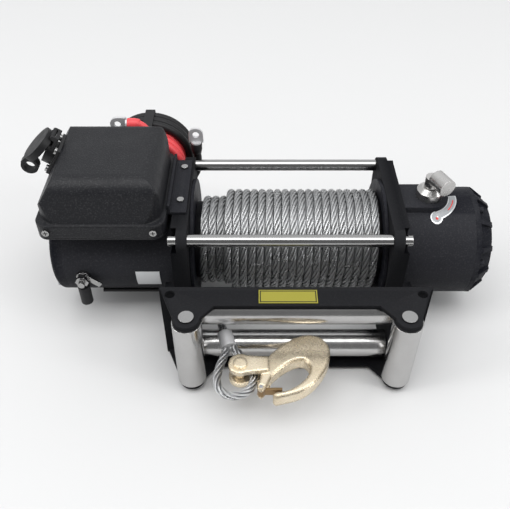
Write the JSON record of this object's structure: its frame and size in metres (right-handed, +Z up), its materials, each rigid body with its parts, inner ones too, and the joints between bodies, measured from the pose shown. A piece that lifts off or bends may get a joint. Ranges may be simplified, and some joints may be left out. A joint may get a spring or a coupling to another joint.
{
  "type": "electric recovery winch",
  "caption": "Electric planetary winch with a wire rope drum between tie bars, a control box over the motor, a clutch lever, a roller fairlead and a clevis hook.",
  "frame": {"origin": "centre of the foot bolt pattern on the underside of the feet, below the middle of the drum", "axes": "+X along the drum axis from the motor to the gear end, +Y away from the fairlead, +Z up"},
  "size_m": [0.5433, 0.3564, 0.2264],
  "materials": {
    "black_paint": "satin fine-grain powder coat",
    "cover_plastic": "fine-grain moulded",
    "bright_steel": "polished plating",
    "roller_steel": "satin ground steel",
    "plain_steel": "machined",
    "rope_steel": "galvanised wire",
    "bronze": "sintered",
    "copper_winding": "enamelled winding",
    "hook_zinc": "yellow zinc plating",
    "latch_bronze": "dark zinc plating",
    "black_rubber": "matt",
    "red_rubber": "matt",
    "tinned": "tinned copper",
    "yellow_plate": "plain yellow plate",
    "silver_plate": "plain silver plate",
    "socket_plastic": "moulded"
  },
  "bodies": {
    "base": {"motor_support": "black_paint", "gear_support": "black_paint", "tie_bars": "bright_steel", "tie_bar_screws": "bright_steel", "drum_bushes": "bronze", "rope_lead": "rope_steel", "rope_ferrule": "tinned", "rope_eye": "rope_steel", "motor_can": "black_paint", "motor_end_cap": "black_paint", "through_bolts": "plain_steel", "field_poles": "copper_winding", "brush_holder": "socket_plastic", "shaft_bearings": "plain_steel", "motor_terminal": "bright_steel", "motor_cable": "black_rubber", "gear_housing": "black_paint", "gear_end_cap": "black_paint", "end_cap_bolts": "black_paint", "clutch_ring": "plain_steel", "clutch_base": "bright_steel", "clutch_plate": "silver_plate", "control_box_cover": "cover_plastic", "control_box_base": "cover_plastic", "box_screws": "bright_steel", "contactor": "socket_plastic", "remote_socket": "socket_plastic", "box_strap": "black_paint", "strap_screws": "bright_steel", "fairlead_frame": "black_paint", "fairlead_bolts": "plain_steel", "roller_pins": "bright_steel", "roller_washers": "black_rubber", "fairlead_plate": "yellow_plate", "red_lead": "red_rubber", "black_lead": "black_rubber", "red_coil": "red_rubber", "black_coil": "black_rubber", "coil_tie": "black_rubber", "cable_lugs": "tinned"},
    "drum": {"drum": "black_paint", "rope_winding": "rope_steel", "drum_ring": "plain_steel"},
    "armature": {"armature": "copper_winding", "drive_shaft": "plain_steel"},
    "carrier": {"planet_carrier": "plain_steel"},
    "planet_1": {"planet_1": "plain_steel"},
    "planet_2": {"planet_2": "plain_steel"},
    "planet_3": {"planet_3": "plain_steel"},
    "clutch_lever": {"clutch_lever": "bright_steel"},
    "clutch_pin": {"clutch_pin": "plain_steel"},
    "left_roller": {"left_roller": "roller_steel"},
    "right_roller": {"right_roller": "roller_steel"},
    "lower_roller": {"lower_roller": "roller_steel"},
    "upper_roller": {"upper_roller": "roller_steel"},
    "hook": {"hook": "hook_zinc", "clevis_pin": "hook_zinc", "latch_pin": "plain_steel"},
    "latch": {"hook_latch": "latch_bronze"},
    "socket_cap": {"socket_cap": "black_rubber"}
  },
  "joints": [
    {"name": "armature_spin", "type": "hinge", "parent": "base", "child": "armature", "pos_m": [0, 0, 0.084], "axis": [1, 0, 0], "continuous": true},
    {"name": "drum_spin", "type": "hinge", "parent": "base", "child": "drum", "pos_m": [0, 0, 0.084], "axis": [1, 0, 0], "continuous": true},
    {"name": "carrier_spin", "type": "hinge", "parent": "base", "child": "carrier", "pos_m": [0.16, 0, 0.084], "axis": [1, 0, 0], "continuous": true},
    {"name": "planet_1_spin", "type": "hinge", "parent": "carrier", "child": "planet_1", "pos_m": [0.16, 0, 0.0552], "axis": [1, 0, 0], "continuous": true},
    {"name": "planet_2_spin", "type": "hinge", "parent": "carrier", "child": "planet_2", "pos_m": [0.16, 0.02494, 0.0984], "axis": [1, 0, 0], "continuous": true},
    {"name": "planet_3_spin", "type": "hinge", "parent": "carrier", "child": "planet_3", "pos_m": [0.16, -0.02494, 0.0984], "axis": [1, 0, 0], "continuous": true},
    {"name": "clutch_turn", "type": "hinge", "parent": "base", "child": "clutch_lever", "pos_m": [0.164, 0, 0.181], "axis": [0, 0, 1], "range_deg": [0, 85]},
    {"name": "clutch_lift", "type": "slide", "parent": "base", "child": "clutch_pin", "axis": [0, 0, 1], "range_m": [0, 0.006]},
    {"name": "left_roller_spin", "type": "hinge", "parent": "base", "child": "left_roller", "pos_m": [-0.11, -0.1521, 0.057], "axis": [0, 0, 1], "continuous": true},
    {"name": "right_roller_spin", "type": "hinge", "parent": "base", "child": "right_roller", "pos_m": [0.122, -0.1521, 0.057], "axis": [0, 0, 1], "continuous": true},
    {"name": "lower_roller_spin", "type": "hinge", "parent": "base", "child": "lower_roller", "pos_m": [0.006, -0.1185, 0.0284], "axis": [1, 0, 0], "continuous": true},
    {"name": "upper_roller_spin", "type": "hinge", "parent": "base", "child": "upper_roller", "pos_m": [0.006, -0.1185, 0.086], "axis": [1, 0, 0], "continuous": true},
    {"name": "hook_swing", "type": "hinge", "parent": "base", "child": "hook", "pos_m": [-0.054, -0.177, 0.054], "axis": [0, 0, 1], "range_deg": [-5, 15]},
    {"name": "latch_turn", "type": "hinge", "parent": "hook", "child": "latch", "pos_m": [-0.032, -0.203, 0.054], "axis": [0, 0, 1], "range_deg": [0, 28], "stiffness_Nm_per_rad": 0.05},
    {"name": "cap_turn", "type": "hinge", "parent": "base", "child": "socket_cap", "pos_m": [-0.26176, 0.02, 0.22299], "axis": [0, 1, 0], "range_deg": [-16, 90]}
  ],
  "couplings": [
    {"joint": "drum_spin", "follows": "armature_spin", "ratio": 0.0079365},
    {"joint": "carrier_spin", "follows": "armature_spin", "ratio": 0.16667},
    {"joint": "planet_1_spin", "follows": "armature_spin", "ratio": -0.41667},
    {"joint": "planet_2_spin", "follows": "armature_spin", "ratio": -0.41667},
    {"joint": "planet_3_spin", "follows": "armature_spin", "ratio": -0.41667},
    {"joint": "clutch_lift", "follows": "clutch_turn", "m_per_rad": 0.004}
  ]
}
